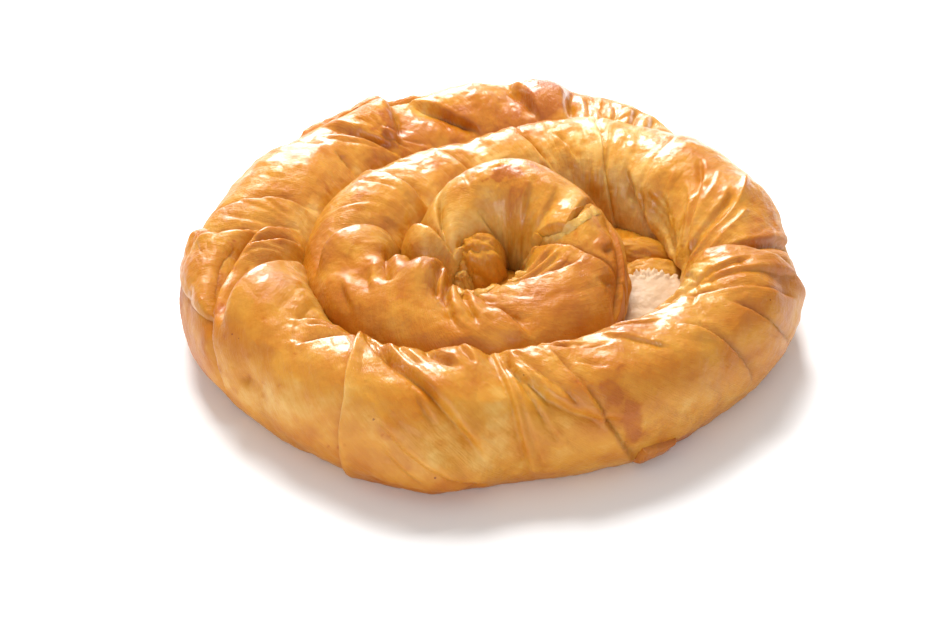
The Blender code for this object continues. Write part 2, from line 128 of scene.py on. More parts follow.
# A fold is a crease from one place to another.  bow bends it along the rope, depth sinks it, lift
# raises the side ahead of it (or, below zero, the side behind), reach is how far both are felt,
# and lip is how sharply the raised side rolls over (mm).
Fold = namedtuple("Fold", "start end bow depth lift reach lip", defaults=(1.0,))
FOLDS = records(
    Fold,
    # tail and back
    ((65, 56), (59, 106), 0, 0.9, 0.3, 2.8), ((68, 54), (62, 110), 0, 1.1, 0.3, 2.8),
    ((71, 56), (65, 118), 0, 1, 0.3, 2.8), ((61, 50), (55, 102), 0, 1.2, 0.3, 2.2),
    ((57, 50), (51, 92), 0, 1, 0.3, 2), ((74, 44), (68, 126), 2, 2.6, 2, 8, 1.8),
    ((88, 52), (77, 128), 1, 1.6, -1.8, 6), ((109, 58), (94, 136), 1, 1.6, -1.4, 5, 0.9),
    ((112, 44), (117, 138), -2, 2.4, 2, 8, 1.6), ((130, 52), (115, 138), 3, 0.9, -1.2, 6, 1.2),
    ((133, 66), (117, 142), 0, 1.2, 1, 5, 0.7), ((124, 92), (113, 136), 1, 0.8, 0.4, 2.4, 0.6),
    ((134, 100), (134, 144), 0, 1, 0.3, 3), ((146, 30), (133, 98), 0, 0.8, 0.7, 5, 0.7),
    ((120, 96), (108, 136), 1, 0.8, 0.5, 3, 0.6),
    # outer wall at the back
    ((50, 30), (62, -28), 1, 1, 0.8, 5, 0.9), ((66, 36), (80, -30), -1, 1.2, 0.9, 6),
    ((78, 38), (90, -34), 2, 0.7, -0.8, 4, 0.8), ((95, 40), (108, -22), 1, 1.3, 1.1, 7, 1.1),
    ((113, 38), (127, -34), -2, 0.9, 0.8, 5, 0.9), ((126, 32), (136, -10), 1, 0.7, 0.6, 4, 0.8),
    ((144, 30), (158, -32), 2, 1.3, 1.1, 7, 1.1), ((161, 10), (172, -34), 0, 0.8, 0.7, 4, 0.8),
    ((396, 34), (404, -30), 1, 1.1, 0.9, 6), ((408, 26), (414, -20), 0, 0.8, -0.7, 4, 0.8),
    # left
    ((176, 24), (155, 138), -4, 2.2, 2.6, 7, 1.3), ((177, 42), (170, 106), 0, 1.4, 1.8, 4, 0.9),
    ((185, 74), (165, 134), -2, 2.2, 2.4, 5, 1.1), ((189, 70), (172, 140), -2, 1.2, 1.2, 4, 0.8),
    ((205, 32), (177, 158), 0, 2.8, 3.8, 10, 2.2), ((203, 42), (190, 94), 1, 0.9, 0.6, 2, 0.7),
    ((200, 46), (186, 98), 0.5, 0.8, 0.5, 2, 0.6), ((209, -36), (198, 46), 1, 3, 1.2, 2.6),
    ((201, 28), (171, 106), 2, 2.8, 1.4, 3), ((196, -50), (178, 20), 2, 1, 1, 5),
    ((179, 40), (164, 62), 0, 0.9, 0.7, 3, 0.8), ((168, 44), (160, 70), 0, 0.8, 0.6, 3, 0.8),
    # front
    ((235, 128), (267, -6), 3, 1.5, 1.5, 7, 0.9), ((250, 74), (258, 26), -1, 0.9, 1.4, 5, 0.8),
    ((244, 40), (270, -30), -3, 0.9, 1.4, 5, 0.8), ((243, -28), (268, -32), 0, 1.4, 1, 3, 0.9),
    ((223, 142), (213, 88), -2, 1.4, 1.2, 4), ((229, 134), (220, 66), 0, 1.4, 1, 4, 0.9),
    ((226, 138), (217, 96), 0, 1, 0.6, 2.4, 0.7), ((250, 132), (263, 84), 0, 1.4, 0.9, 4, 0.8),
    ((241, 128), (253, 88), 0, 0.9, 0.6, 3, 0.7), ((261, 132), (266, 92), 0, 1.2, 0.9, 3, 0.8),
    ((270, 144), (278, -38), -1, 1, 0.8, 6, 0.8), ((272, 128), (281, -26), -1, 0.5, 0.3, 1.8, 0.5),
    ((274, 116), (285, 6), -2, 0.7, 0.5, 1.8, 0.5), ((272, 130), (301, 16), -8, 1.1, 1.8, 6, 0.9),
    ((286, 108), (304, -40), -1, 0.8, -1.3, 4, 0.6), ((283, 128), (294, 104), 1, 1.2, 0.6, 2.8, 0.8),
    ((276, 132), (288, 116), 1, 1.2, 0.9, 2.8, 0.8), ((302, 114), (316, 58), 0, 0.6, 0.6, 3, 0.6),
    ((290, 88), (300, 62), 0, 0.5, -0.5, 3, 0.5), ((213, 36), (215, 2), -2, 1.2, 0, 4),
    ((246, 20), (256, -20), -2, 0.7, 0.8, 4, 0.7), ((258, 60), (268, 10), -3, 0.6, 0.7, 5, 0.7),
    # right, with the pinch
    ((322, 86), (336, -14), 1.5, 0.8, -1.3, 5, 0.5), ((336, 80), (351, -12), -2, 0.8, -1, 5, 0.6),
    ((330, 128), (354, 24), -1, 0.8, -0.9, 4, 0.7), ((338, 120), (358, 30), -1, 0.7, 0.8, 4, 0.8),
    ((322, 136), (340, 84), 2, 0.5, 0.6, 4, 0.8), ((327, 140), (352, 74), 2, 0.9, 0.6, 3, 0.8),
    ((358, 160), (363, -12), -3, 2.8, -2.6, 8, 1.8), ((357, 128), (371, 10), 0, 1.8, 0.9, 4),
    ((358, 152), (384, 62), -2, -1.3, 0, 2), ((358, 128), (374, 76), 0, -1.2, 0, 2),
    ((360, 154), (393, 84), 2, 0.8, -0.9, 4, 0.8), ((366, 162), (385, 96), 3, -0.6, 0, 1.8),
    ((362, 156), (378, 84), 0, 0.9, 0.5, 2.6, 0.8), ((372, 160), (394, 108), 4, -0.5, 0, 1.8),
    ((363, 162), (410, 122), 10, 1.8, 1.4, 6), ((366, 174), (400, 138), 8, 1.2, 0.5, 2.6, 0.8),
    ((364, 30), (378, 20), 0, 1, 0.6, 3, 0.8), ((306, 130), (322, 96), 0, 0.6, 0.5, 4, 0.7),
    # second turn
    ((442, 62), (433, 142), 1, 1.4, 1.4, 5, 0.9), ((432, 88), (425, 130), 0, 0.8, 0.6, 3, 0.6),
    ((468, 50), (460, 142), 0, 1.8, 0.9, 7, 1.2), ((493, 45), (492, 144), 0, 2.4, 1.6, 7, 1.4),
    ((551, 36), (523, 154), -2, 2.8, 3.2, 9, 1.6), ((581, 84), (534, 158), 0, 1.5, 0.6, 3, 1.6),
    ((606, 92), (598, 156), 0, 1, -0.6, 5, 1.4), ((560, 62), (574, 40), 0, 1, 0.5, 3),
    ((592, 132), (603, 82), 0, 1.4, 0.6, 3, 0.9), ((618, 48), (600, 140), -2, 1.8, 1.2, 5, 1.2),
    ((603, 128), (643, 34), 6, 1.6, -1.6, 6, 1.2), ((609, 126), (624, 58), 0, 1.3, 0.8, 3, 0.9),
    ((613, 130), (632, 74), 1, 1, 0.6, 2.6, 0.8), ((640, 134), (692, 76), 0, 1.3, -1.4, 4, 0.9),
    ((650, 132), (696, 98), 0, 1.1, 0.8, 2.6, 0.8), ((664, 134), (702, 112), 0, 1.1, 0.8, 2.4, 0.8),
    ((576, 60), (560, 98), 0, 0.8, 0.8, 5), ((680, 60), (700, 30), 0, 0.7, 0.6, 4, 0.8),
    ((505, 60), (500, 110), 0, 0.8, 0.4, 4), ((524, 50), (514, 96), 0, 0.8, 0.5, 4),
    # inner coil
    ((756, 170), (699, 36), -9, 1.5, -1.5, 6), ((745, 156), (716, 88), -3, 1.1, 1.1, 4, 0.8),
    ((738, 48), (676, 22), 0, 1, 1, 3, 0.6), ((720, 96), (746, 42), 3, 0.9, 0.9, 3, 0.6),
    ((733, 146), (760, 82), 0, 0.8, 0.7, 7, 1.2), ((758, 150), (774, 92), 2, 0.9, 1, 8, 1.6),
    ((864, 24), (912, 128), -2, 1.6, 1.8, 4, 1.4), ((806, 172), (846, 110), 2, 0.8, 0.9, 7, 1.4),
    ((824, 174), (878, 126), 3, 0.7, 0.6, 5, 1.2), ((866, 142), (906, 110), 0, 1, 0.6, 4, 0.9),
    ((897, 110), (838, 56), 0, 1.5, 0.9, 6), ((826, 60), (834, 104), 0, 0.6, 0.4, 4, 0.8),
    ((720, 40), (702, 64), 0, 0.8, 0.6, 3, 0.7),
)

# A fan is a spray of fine pleats that spread from one place to a row of others.
Fan = namedtuple("Fan", "apex first last count depth reach")
FANS = records(
    Fan,
    ((354, 156), (324, 122), (340, 60), 6, 0.5, 1.8), ((362, 162), (376, 70), (398, 100), 6, -0.5, 1.7),
    ((364, 168), (392, 130), (412, 150), 4, 0.6, 1.6), ((271, 134), (279, 40), (296, 14), 6, 0.6, 1.5),
    ((271, 140), (288, 122), (304, 92), 5, 0.9, 1.8), ((229, 136), (243, 92), (256, 70), 4, 0.6, 1.5),
    ((602, 134), (612, 84), (640, 96), 5, 0.9, 1.5), ((640, 138), (672, 80), (694, 84), 4, 0.6, 1.4),
    ((806, 176), (818, 110), (850, 120), 2, 0.3, 2.4), ((176, 150), (176, 70), (190, 60), 4, 0.4, 1.4),
    ((60, 112), (58, 50), (76, 46), 5, 0.6, 1.4), ((118, 142), (112, 70), (136, 80), 5, 0.6, 1.5),
    ((166, 140), (158, 70), (172, 40), 3, 0.35, 1.5),
)

# A swell is a soft bulge: its place, its size along and round the rope, its height.
Swell = namedtuple("Swell", "place along round height")
SWELLS = records(
    Swell,
    ((95, 70), 10, 11, 2), ((80, 70), 7, 10, 1.8), ((116, 66), 6, 9, 1.8), ((104, 112), 12, 8, -1.2),
    ((126, 84), 8, 14, 0.8), ((147, 88), 15, 17, 2.2), ((163, 84), 6, 18, 0.8), ((174, 118), 5, 9, 1),
    ((181, 112), 6, 10, 1), ((201, 84), 13, 17, 2.6), ((216, 12), 6, 10, -1.2), ((232, 60), 8, 14, 0.6),
    ((255, 40), 12, 16, 1.4), ((256, -22), 13, 9, 2.6), ((262, 120), 9, 10, 2.8), ((286, 112), 9, 8, 1.8),
    ((306, 120), 12, 10, 1), ((313, 60), 20, 20, 1.4), ((343, 56), 9, 12, 1.8), ((350, 96), 12, 12, 1.8),
    ((377, 100), 9, 14, 1.2), ((372, 26), 9, 22, -1.8), ((396, 110), 10, 16, 1.4), ((440, 100), 12, 14, 1),
    ((480, 90), 14, 16, 1), ((511, 72), 15, 15, 2.2), ((546, 106), 9, 13, 3), ((566, 116), 6, 9, 3),
    ((588, 114), 8, 9, 5.6), ((563, 48), 6, 6, 1.8), ((596, 60), 14, 14, 1), ((624, 100), 8, 12, -0.8),
    ((676, 62), 18, 18, 2.2), ((728, 110), 7, 12, 1), ((790, 84), 12, 12, 1.2), ((830, 70), 10, 12, 1.2),
    ((893, 50), 6, 11, 2.6), ((926, 80), 4, 5, 1.6),
)

# Patches that the oven has browned more (or, below zero, left paler) than the rest; a few are painted shade
# and one is a painted highlight, as marked below
Patch = namedtuple("Patch", "place along round amount")
PATCHES = records(
    Patch,
    ((77, 100), 6, 12, 0.32), ((79, 70), 4, 4, 0.3), ((108, 112), 12, 10, 0.34), ((92, 108), 14, 8, 0.26),
    # on this line, (95, 66) is a painted highlight on the top of a swell at the back
    ((112, 74), 6, 7, 0.16), ((95, 66), 9, 6, -0.1), ((184, 28), 9, 8, 0.25), ((224, 40), 9, 8, 0.08),
    # on this line, (96, 122) is painted shade on the outer turn's inner face at the back, and (630, 28)
    # painted shade on the second turn's front below the outer turn
    ((253, 56), 7, 8, 0.12), ((96, 122), 34, 10, 0.2), ((630, 28), 80, 18, 0.26),
    # on this line, (340, 36) is painted shade on the right side, away from the light
    ((340, 36), 50, 26, 0.16), ((588, 112), 9, 9, 0.3), ((150, 84), 24, 24, 0.1), ((540, 90), 16, 16, 0.1),
    ((297, 46), 3.2, 3.8, 0.37), ((299, 33), 2.8, 5, 0.3), ((301, 14), 3.4, 6, 0.42),
    ((198, 44), 3, 8, 0.3), ((366, 66), 5, 7, 0.2), ((377, 60), 6, 7, 0.2), ((354, 140), 5, 4, 0.3),
    ((192, -8), 18, 16, 0.3), ((160, 10), 30, 14, 0.15), ((561, 100), 7, 8, 0.16),
    ((700, 44), 8, 10, 0.22), ((661, 69), 9, 8, 0.12), ((800, 94), 5, 4, 0.5), ((789, 118), 5, 6, 0.26),
    ((255, -40), 12, 6, 0.3), ((316, -44), 6, 5, 0.5), ((500, 150), 20, 9, -0.18),
    ((615, 165), 40, 8, -0.22), ((398, 150), 14, 10, -0.24), ((278, 128), 6, 5, -0.2),
    ((345, 120), 8, 5, -0.14), ((440, 140), 20, 8, -0.12), ((61, 84), 8, 14, -0.12),
)

# Zones with blisters: the place, its size along and round the rope, how many, and how large
Zone = namedtuple("Zone", "place along round count size")
BLISTER_ZONES = records(
    Zone,
    ((425, 104), 26, 16, 34, 1.5), ((455, 96), 18, 14, 14, 1.6), ((815, 90), 12, 12, 20, 1.2),
    ((212, 60), 26, 18, 10, 1.5), ((96, 88), 20, 12, 12, 1.4), ((320, 40), 30, 18, 10, 1.2),
    ((345, 128), 14, 7, 24, 1), ((560, 90), 18, 14, 8, 1.4), ((150, 84), 16, 12, 10, 1.5),
    ((690, 70), 12, 12, 8, 1),
)

# Wrinkles, by angle about the middle: how far they lean over from straight across the rope, how
# strong they are, and how strong the soft pillows between them are
Wrinkling = namedtuple("Wrinkling", "angle lean wrinkles pillows")
WRINKLING = records(
    Wrinkling,
    (42, 14, 1, 0.6), (70, 18, 0.6, 0.3), (100, 24, 0.4, 0.4), (140, 22, 0.5, 0.5), (165, 18, 0.3, 0.15),
    (190, 36, 0.3, 0.1), (205, 40, 0.4, 0.4), (228, 44, 0.5, 0.6), (250, 46, 0.8, 0.5),
    (290, 48, 0.7, 0.4), (320, 50, 0.5, 0.6), (345, 46, 0.7, 0.5), (360, 40, 0.8, 0.3),
    (385, 18, 0.8, 0.4), (415, 6, 0.8, 0.8), (450, 14, 0.8, 0.8), (500, 18, 0.7, 0.9), (545, 20, 0.4, 0.3),
    (575, 24, 0.6, 0.3), (615, 48, 0.8, 0.5), (665, 62, 0.9, 0.5), (700, 40, 0.9, 0.5),
    (740, 14, 0.3, 0.2), (770, 14, 0.12, 0.15), (830, 22, 0.25, 0.2), (926, 26, 0.6, 0.3),
)


# ------------------------------------------------------------------ sizes and colours a user may change
class RopeSizes(bpy.types.PropertyGroup):
    """Sizes of the rope's surface, in the pie's own millimetres"""

    grain: FloatProperty(name="Mesh Step", description="Spacing of the points", default=0.55, min=0.3)
    facets: IntProperty(name="Facets Round", description="Points round the section", default=168, min=24)
    fold_strength: FloatProperty(name="Fold Strength", description="Scale of all folds", default=1.45)
    swell_strength: FloatProperty(name="Swell Strength", description="Scale of all bulges", default=1.25)
    puff: FloatProperty(name="Puff", description="Rise of the pastry between two creases", default=1.1)
    pillow: FloatProperty(name="Pillows", description="Height of pillows between wrinkles", default=1.5)
    wrinkle: FloatProperty(name="Wrinkles", description="Height of the fine wrinkles", default=0.6)
    dimple: FloatProperty(name="Dimples", description="Height of the soft dimples", default=0.5)
    blister: FloatProperty(name="Blisters", description="Height of the largest blisters", default=0.5)
    sheet: FloatProperty(name="Sheet Thickness", description="Thickness of a loose layer", default=0.45)


class CrustColours(bpy.types.PropertyGroup):
    """Colours of the crust from raw to burnt"""

    cream: FloatVectorProperty(name="Cream", description="Pastry that the oven hardly reached",
                               subtype="COLOR", default=(0.68, 0.41, 0.11))
    golden: FloatVectorProperty(name="Golden", description="Pastry baked golden",
                                subtype="COLOR", default=(0.57, 0.245, 0.022))
    orange: FloatVectorProperty(name="Orange", description="Well baked pastry",
                                subtype="COLOR", default=(0.47, 0.155, 0.005))
    brown: FloatVectorProperty(name="Brown", description="Dark patches",
                               subtype="COLOR", default=(0.39, 0.105, 0.004))
    gloss: FloatProperty(name="Glaze Roughness", description="Roughness of the glaze",
                         subtype="FACTOR", default=0.15, min=0.0, max=1.0)


class CheeseSizes(bpy.types.PropertyGroup):
    """Shape and colour of the cheese, in the pie's own millimetres"""

    centre: FloatVectorProperty(name="Centre", description="Middle of the lump, from the coil's middle",
                                default=(48.0, -6.0, 4.0))
    radii: FloatVectorProperty(name="Radii", description="Half sizes of the lump", default=(17, 21, 20))
    crumb: FloatProperty(name="Crumbs", description="Scale of the crumbs along its top", default=1.0)
    colour: FloatVectorProperty(name="Colour", description="Colour of the cheese", subtype="COLOR",
                                default=(0.57, 0.40, 0.25))


class StageLooks(bpy.types.PropertyGroup):
    """Floor, lights and camera"""

    floor: FloatVectorProperty(name="Floor", description="Colour of the floor", subtype="COLOR",
                               default=(0.93, 0.93, 0.93))
    key: FloatProperty(name="Key Light", description="Power of the main softbox", subtype="POWER",
                       default=22.0)
    world: FloatProperty(name="Sky", description="Strength of the even light", default=0.56)
    elevation: FloatProperty(name="Camera Elevation", description="Angle of the camera above the floor",
                             subtype="ANGLE", default=math.radians(35.5))
    distance: FloatProperty(name="Camera Distance", description="Camera to the middle of the pie",
                            subtype="DISTANCE", unit="LENGTH", default=1.1)


# ------------------------------------------------------------------ the rope's plain form
def hermite(x, xs, ys):
    """Smooth curve through (xs, ys), read at x."""
    slopes = np.gradient(ys, xs)
    i = np.clip(np.searchsorted(xs, x) - 1, 0, len(xs) - 2)
    gap = xs[i + 1] - xs[i]
    t = (x - xs[i]) / gap
    return ((2 * t**3 - 3 * t**2 + 1) * ys[i] + (t**3 - 2 * t**2 + t) * gap * slopes[i]
            + (3 * t**2 - 2 * t**3) * ys[i + 1] + (t**3 - t**2) * gap * slopes[i + 1])


def course(angles, stations=COURSE):
    """Axis points, crest heights and half widths of a rope at these angles."""
    table = np.array(stations, float)
    known = table[:, 0]
    radius = hermite(angles, known, OUTER_RADIUS + table[:, 1])
    crest = hermite(angles, known, ROPE_HEIGHT + table[:, 2])
    half_width = hermite(angles, known, ROPE_HALF_WIDTH + table[:, 3])
    turn = np.radians(angles)
    return np.stack([radius * np.cos(turn), radius * np.sin(turn)], axis=-1), crest, half_width


def distance_table():
    """Angles in small steps and the distance along the rope at each."""
    angles = np.arange(COURSE[0].angle, COURSE[-1].angle + 0.25, 0.5)
    steps = np.hypot(*np.diff(course(angles)[0], axis=0).T)
    return angles, np.concatenate([[0.0], np.cumsum(steps)])


ANGLES, DISTANCES = distance_table()


def along(angle):
    """Distance along the rope at an angle about the middle."""
    return np.interp(angle, ANGLES, DISTANCES)


def surface_place(place):
    """A place (angle about the middle, angle round the section) as lengths on the surface."""
    return np.array([along(place[0]), math.radians(place[1]) * GIRTH_RADIUS])


def ease(t):
    """A soft step: 0 up to t = 0, 1 from t = 1."""
    t = np.clip(t, 0.0, 1.0)
    return t * t * (3 - 2 * t)


def wrap_surface(angles, phi, height, stations=COURSE, girth=1.0):
    """Points at angles about the middle and phi round the section, raised by height.  girth scales
    the section."""
    axis, crest, half_width = course(angles, stations)
    run = course(angles + 0.5, stations)[0] - course(angles - 0.5, stations)[0]
    run /= np.linalg.norm(run, axis=-1)[..., None]
    outward = np.stack([run[..., 1], -run[..., 0]], axis=-1)
    across, up = np.cos(np.radians(phi)), np.sin(np.radians(phi))
    power = np.where(up < 0, LOWER_SQUARENESS, UPPER_SQUARENESS)
    size = (np.abs(across)**power + np.abs(up)**power)**(-1 / power)
    across, up = across * size, up * size
    across = np.where((up < 0) & (across > 0), across * (1 - OUTER_TAPER * up**2), across) * half_width
    middle = AXIS_LEVEL * crest
    up = np.where(up > 0, crest - middle, UNDERSIDE * crest) * up
    grow = girth * (1 + height / np.hypot(across, up))
    points = np.empty(angles.shape + (3,))
    points[..., :2] = axis + outward * (across * grow)[..., None]
    points[..., 2] = np.maximum(middle + up * grow, 0.0)
    return points


# ------------------------------------------------------------------ relief
# s is the distance along the rope and v the distance round it, both in mm.  Where noise is called,
# they are divided by the size of its cells, and the last number is its seed.
FOLD_PIECES = 14        # straight pieces that stand for a bent fold
FAR = 12.0              # distance at which a crease is no longer felt
PUFF_REACH = 3.5        # how far from a crease the pastry has risen
FOOT_FADE = 12.0        # length over which the relief fades out at the foot
CRISP = 0.35            # patches with more brown than this have a clear edge


def value_noise(x, y, seed):
    """Smooth noise from -1 to 1 over a plane of unit cells."""
    lattice = np.random.default_rng(seed).uniform(-1, 1, (64, 64))
    ix, iy = np.floor(x).astype(int), np.floor(y).astype(int)
    fx, fy = ease(x - ix), ease(y - iy)
    a, b = lattice[ix % 64, iy % 64], lattice[(ix + 1) % 64, iy % 64]
    c, d = lattice[ix % 64, (iy + 1) % 64], lattice[(ix + 1) % 64, (iy + 1) % 64]
    return (a * (1 - fx) + b * fx) * (1 - fy) + (c * (1 - fx) + d * fx) * fy


def cloud(x, y, seed):
    """Noise of three sizes, from about -1 to 1."""
    return (value_noise(x, y, seed) + 0.5 * value_noise(2.1 * x, 2.1 * y, seed + 1)
            + 0.25 * value_noise(4.3 * x, 4.3 * y, seed + 2)) / 1.3


def window(s, v, spot, radius):
    """Slices of the grid near a spot, or None."""
    rows = np.nonzero((s.max(axis=1) > spot[0] - radius) & (s.min(axis=1) < spot[0] + radius))[0]
    cols = np.nonzero((v.max(axis=0) > spot[1] - radius) & (v.min(axis=0) < spot[1] + radius))[0]
    if not len(rows) or not len(cols):
        return None
    return slice(rows[0], rows[-1] + 1), slice(cols[0], cols[-1] + 1)


def add_fold(height, crease, gaps, s, v, fold):
    """Adds one fold to the height, the crease map and the distances to the nearest crease."""
    start, end = surface_place(fold.start), surface_place(fold.end)
    run = end - start
    length = np.hypot(*run)
    near = window(s, v, (start + end) / 2, length / 2 + abs(fold.bow) + 4 * fold.reach)
    if near is None:
        return
    s, v = s[near], v[near]
    side = np.array([-run[1], run[0]]) / length
    side *= math.copysign(1.0, side[0])
    q = np.linspace(0, 1, FOLD_PIECES + 1)[:, None]
    line = start + q * run + 4 * fold.bow * q * (1 - q) * side
    nearest = np.full(s.shape, np.inf)
    ahead, progress = np.zeros(s.shape), np.zeros(s.shape)
    for i in range(FOLD_PIECES):
        a, d = line[i], line[i + 1] - line[i]
        t = np.clip(((s - a[0]) * d[0] + (v - a[1]) * d[1]) / (d @ d), 0, 1)
        ds, dv = s - a[0] - t * d[0], v - a[1] - t * d[1]
        gap = np.hypot(ds, dv)
        closer = gap < nearest
        nearest = np.where(closer, gap, nearest)
        ahead = np.where(closer, np.sign(ds * d[1] - dv * d[0]), ahead)
        progress = np.where(closer, (i + t) / FOLD_PIECES, progress)
    ahead *= math.copysign(1.0, line[1][1] - line[0][1]) * math.copysign(1.0, fold.lift)
    fade = ease(np.minimum(progress, 1 - progress) * length / (1.4 * fold.reach + 1.0))
    sunk = -fold.depth * np.exp(-nearest / (0.6 * fold.reach))
    roll = np.exp(-(nearest / fold.lip)**2)
    raised = -fold.depth * roll + abs(fold.lift) * (np.exp(-nearest / fold.reach) - roll)
    height[near] += fade * np.where((ahead > 0) & (fold.lift != 0), raised, sunk)
    if fold.depth > 0:
        mark = fade * np.exp(-nearest / 1.1) * min(1.0, 0.35 + fold.depth / 2.5)
        crease[near] = np.maximum(crease[near], mark)
        gaps[near] = np.minimum(gaps[near], nearest + FAR * (1 - fade * min(1.0, fold.depth / 1.4)))


def pleats(fan, random):
    """The folds of a fan."""
    for i in range(fan.count):
        q = (i + random.uniform(0.2, 0.8)) / fan.count
        end = [a + q * (b - a) for a, b in zip(fan.first, fan.last)]
        first, last = random.uniform(0.06, 0.3), random.uniform(0.7, 1.05)
        start, end = ([a + t * (b - a) for a, b in zip(fan.apex, end)] for t in (first, last))
        yield Fold(start, end, random.uniform(-1.5, 1.5), fan.depth * random.uniform(0.5, 1.1),
                   random.uniform(-0.3, 0.3), fan.reach * random.uniform(0.8, 1.3), 0.7)


def wrinkle_table():
    """By distance along the rope: the lengths and slants that turn the wrinkles, and their strengths."""
    angles, lean, wrinkles, pillows = np.array(WRINKLING, float).T
    lean = np.radians(np.interp(ANGLES, angles, lean))
    steps = np.diff(DISTANCES, prepend=0.0)
    return (np.cumsum(np.cos(lean) * steps), np.cumsum(np.sin(lean) * steps), np.sin(lean), np.cos(lean),
            np.interp(ANGLES, angles, wrinkles), np.interp(ANGLES, angles, pillows))


WRINKLE_TABLE = wrinkle_table()


def twist_places(s, v):
    """Places across and along the run of the wrinkles, and the strengths of wrinkles and pillows."""
    across, down, sine, cosine, wrinkles, pillows = (np.interp(s, DISTANCES, row) for row in WRINKLE_TABLE)
    return across + v * sine, down - v * cosine, wrinkles, pillows


def add_blisters(height, s, v, scale):
    """Raises small bubbles in the zones that have them."""
    random = np.random.default_rng(41)
    for zone in BLISTER_ZONES:
        middle = surface_place(zone.place)
        for _ in range(zone.count):
            spot = middle + random.normal(0, 0.5, 2) * (zone.along, zone.round)
            radius = zone.size * random.uniform(0.6, 1.7)
            stretch = random.uniform(0.7, 1.4)
            tall = scale * random.uniform(0.35, 1.0) * radius / (1.7 * zone.size)
            near = window(s, v, spot, 2 * radius)
            if near is not None:
                gap = np.hypot((s[near] - spot[0]) * stretch, (v[near] - spot[1]) / stretch) / radius
                height[near] += tall * ease(1.25 - gap)


def oval_gap(s, v, mark):
    """Squared distance from a mark's middle, 1 where it is one of its sizes away."""
    middle = surface_place(mark.place)
    return ((s - middle[0]) / mark.along)**2 + ((v - middle[1]) / mark.round)**2


def folded_height(s, v, sizes):
    """Height of the folds, fans and swells, how creased the pastry is, and how far the creases are."""
    height, crease, gaps = np.zeros(s.shape), np.zeros(s.shape), np.full(s.shape, FAR)
    random = np.random.default_rng(7)
    for fold in (*FOLDS, *(pleat for fan in FANS for pleat in pleats(fan, random))):
        add_fold(height, crease, gaps, s, v, fold)
    height *= sizes.fold_strength
    height += sizes.puff * (0.6 - np.exp(-gaps / PUFF_REACH)) - 0.35 * np.exp(-gaps / 0.5)
    for swell in SWELLS:
        height += sizes.swell_strength * swell.height * np.exp(-oval_gap(s, v, swell)**1.3)
    return height, crease, gaps


def rope_relief(s, v, sizes):
    """Height of everything on the rope at the surface places (s, v), and how far it is baked, with painted
    shade and light added.
    """
    height, crease, gaps = folded_height(s, v, sizes)
    bake = bake_and_shading_map(s, v, height, crease)
    across, down, wrinkles, pillows = twist_places(s, v)
    across += 2.2 * value_noise(s / 14, v / 14, 3)
    wrinkles *= ease(0.55 + 0.8 * value_noise(s / 26, v / 20, 5) + 0.5 * ease((v - 30) / 16))
    wrinkles *= 0.45 + 0.75 * np.exp(-gaps / PUFF_REACH)
    puffed = np.abs(cloud(across / 8.5, down / 30, 9))**0.8
    coarse = 1 - np.abs(cloud(across / 3.8, down / 24, 11))
    fine = 1 - np.abs(value_noise(across / 1.5, down / 13, 17))
    height += sizes.pillow * pillows * (puffed - 0.3)
    height += sizes.wrinkle * wrinkles * (1.5 * (coarse - 0.7) + 0.4 * (fine - 0.6))
    height += sizes.dimple * (cloud(s / 11, v / 10, 23) + 0.35 * value_noise(s / 4.2, v / 3.8, 29)
                              + 0.16 * value_noise(s / 1.5, v / 1.4, 33))
    add_blisters(height, s, v, sizes.blister)
    quarter = GIRTH_RADIUS * math.pi / 2
    height *= ease((v + quarter) / FOOT_FADE) * ease((3 * quarter - v) / FOOT_FADE)
    return height, bake


def bake_and_shading_map(s, v, height, crease):
    """How far the crust is baked, from 0 (cream) to 1 (dark), with painted shade and a painted highlight
    added in places.
    """
    bake = 0.36 + 0.18 * cloud(s / 18, v / 14, 31) + 0.18 * cloud(s / 6, v / 5, 37)
    # the crease term darkens the creases: partly browning along them and partly painted shade
    bake += 0.02 * np.clip(height, -3, 3) - 0.14 * ease((v - 34) / 14) + 0.12 * crease
    # the last term is painted shade: darker down the outer side towards the foot
    bake += 0.03 * np.exp(-((v - 24) / 14)**2) + 0.12 * ease((4 - v) / 12)
    ragged = np.maximum(1 + 0.9 * cloud(s / 3, v / 3, 43), 0.1)
    for patch in PATCHES:
        spread = np.exp(-(oval_gap(s, v, patch) * ragged)**1.5)
        bake += patch.amount * (ease((spread - 0.3) / 0.5) if patch.amount > CRISP else 0.85 * spread)
    return np.clip(bake, 0.0, 1.0)


# ------------------------------------------------------------------ mesh tools
DOUBLES = 0.000004      # points closer than this are one (m)


def clear_selection():
    """Leaves edit mode and deselects everything."""
    if bpy.context.object and bpy.context.object.mode != "OBJECT":
        bpy.ops.object.mode_set(mode="OBJECT")
    bpy.ops.object.select_all(action="DESELECT")


def shaped_grid(name, points, maps=(), wrap=None):
    """A grid of faces, added flat and then shaped to these points (rows, columns, xyz in mm).  maps
    are its named values by point, and wrap is its UV map."""
    rows, columns = points.shape[:2]
    clear_selection()
    bpy.ops.mesh.primitive_grid_add(x_subdivisions=columns - 1, y_subdivisions=rows - 1, size=1)
    piece = bpy.context.object
    piece.name = piece.data.name = name
    place = (points + (*COIL_MIDDLE, 0.0)) * MM
    piece.data.vertices.foreach_set("co", place.reshape(-1).astype(np.float32))
    for label, values in maps:
        layer = piece.data.attributes.new(label, "FLOAT", "POINT")
        layer.data.foreach_set("value", values.reshape(-1).astype(np.float32))
    if wrap is not None:
        corners = np.empty(len(piece.data.loops), np.int32)
        piece.data.loops.foreach_get("vertex_index", corners)
        flat = np.stack(wrap, axis=-1).reshape(-1, 2)[corners]
        piece.data.uv_layers.active.data.foreach_set("uv", flat.reshape(-1).astype(np.float32))
    piece.data.update()
    return piece


